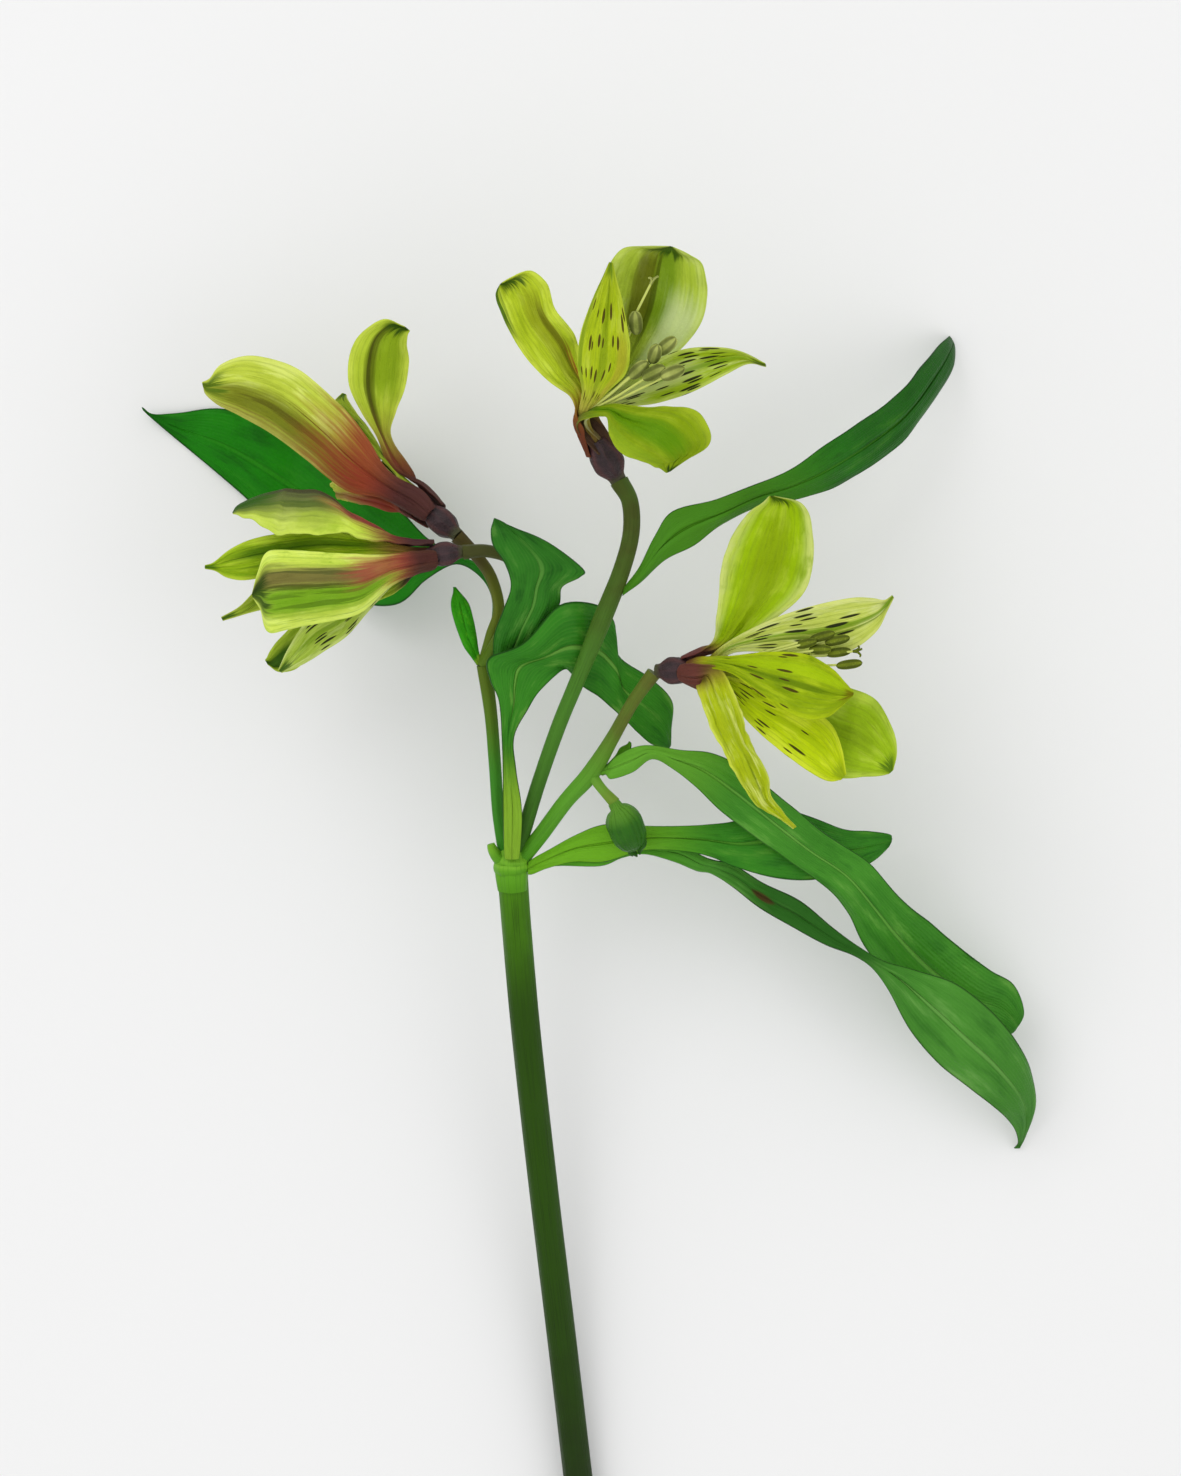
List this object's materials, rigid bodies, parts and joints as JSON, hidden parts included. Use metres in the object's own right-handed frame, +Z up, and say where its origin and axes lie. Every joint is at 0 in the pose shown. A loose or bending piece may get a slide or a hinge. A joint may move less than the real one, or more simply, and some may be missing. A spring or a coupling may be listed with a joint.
{
  "type": "cut alstroemeria stem",
  "caption": "Cut alstroemeria stem lying down: a long bare stem whose top carries narrow leaves, a side bud and open lime-green blooms with dark flecks.",
  "frame": {"origin": "bottom centre of the whole part's bounding box, on the surface that the stem lies on", "axes": "+Y along the stem towards the blooms, +Z up from the surface, +X to the right seen from above with the blooms at the top"},
  "size_m": [0.1786, 0.2768, 0.0717],
  "materials": {
    "stem_green": "satin, slightly waxy",
    "leaf_green": "satin leaf surface with fine parallel veins",
    "leaf_dark_green": "satin leaf surface with fine parallel veins",
    "bract_green": "satin",
    "ovary_purple": "satin, ribbed",
    "outer_tepal_lime": "soft satin petal with an olive middle band and a dark green tip",
    "inner_tepal_lime": "soft satin petal with dark flecks along its veins",
    "stamen_olive": "matt"
  },
  "bodies": {
    "root": {"bloom_lower_left_inner_flecked": "inner_tepal_lime", "bloom_lower_left_inner_high": "inner_tepal_lime", "bloom_lower_left_inner_thin": "inner_tepal_lime", "bloom_lower_left_outer_low": "outer_tepal_lime", "bloom_lower_left_outer_middle": "outer_tepal_lime", "bloom_lower_left_outer_top": "outer_tepal_lime", "bloom_lower_left_ovary": "ovary_purple", "bloom_lower_left_stamens": "stamen_olive", "bloom_right_inner_high": "inner_tepal_lime", "bloom_right_inner_low": "inner_tepal_lime", "bloom_right_inner_near": "inner_tepal_lime", "bloom_right_outer_down": "outer_tepal_lime", "bloom_right_outer_low": "outer_tepal_lime", "bloom_right_outer_top": "outer_tepal_lime", "bloom_right_ovary": "ovary_purple", "bloom_right_stamens": "stamen_olive", "bloom_top_inner_back": "inner_tepal_lime", "bloom_top_inner_left": "inner_tepal_lime", "bloom_top_inner_right": "inner_tepal_lime", "bloom_top_outer_bottom": "outer_tepal_lime", "bloom_top_outer_left": "outer_tepal_lime", "bloom_top_outer_top": "outer_tepal_lime", "bloom_top_ovary": "ovary_purple", "bloom_top_stamens": "stamen_olive", "bloom_upper_left_inner_back": "inner_tepal_lime", "bloom_upper_left_inner_low": "inner_tepal_lime", "bloom_upper_left_inner_near": "inner_tepal_lime", "bloom_upper_left_outer_away": "outer_tepal_lime", "bloom_upper_left_outer_left": "outer_tepal_lime", "bloom_upper_left_outer_top": "outer_tepal_lime", "bloom_upper_left_ovary": "ovary_purple", "bloom_upper_left_stamens": "stamen_olive", "bract_left": "bract_green", "bract_right": "bract_green", "leaf_arching": "leaf_green", "leaf_behind_left": "leaf_dark_green", "leaf_drooping": "leaf_green", "leaf_right_long": "leaf_green", "leaf_right_straight": "leaf_green", "leaf_upper_right": "leaf_dark_green", "leaf_upright": "leaf_green", "side_bud": "bract_green", "stem": "stem_green"}
  },
  "joints": []
}
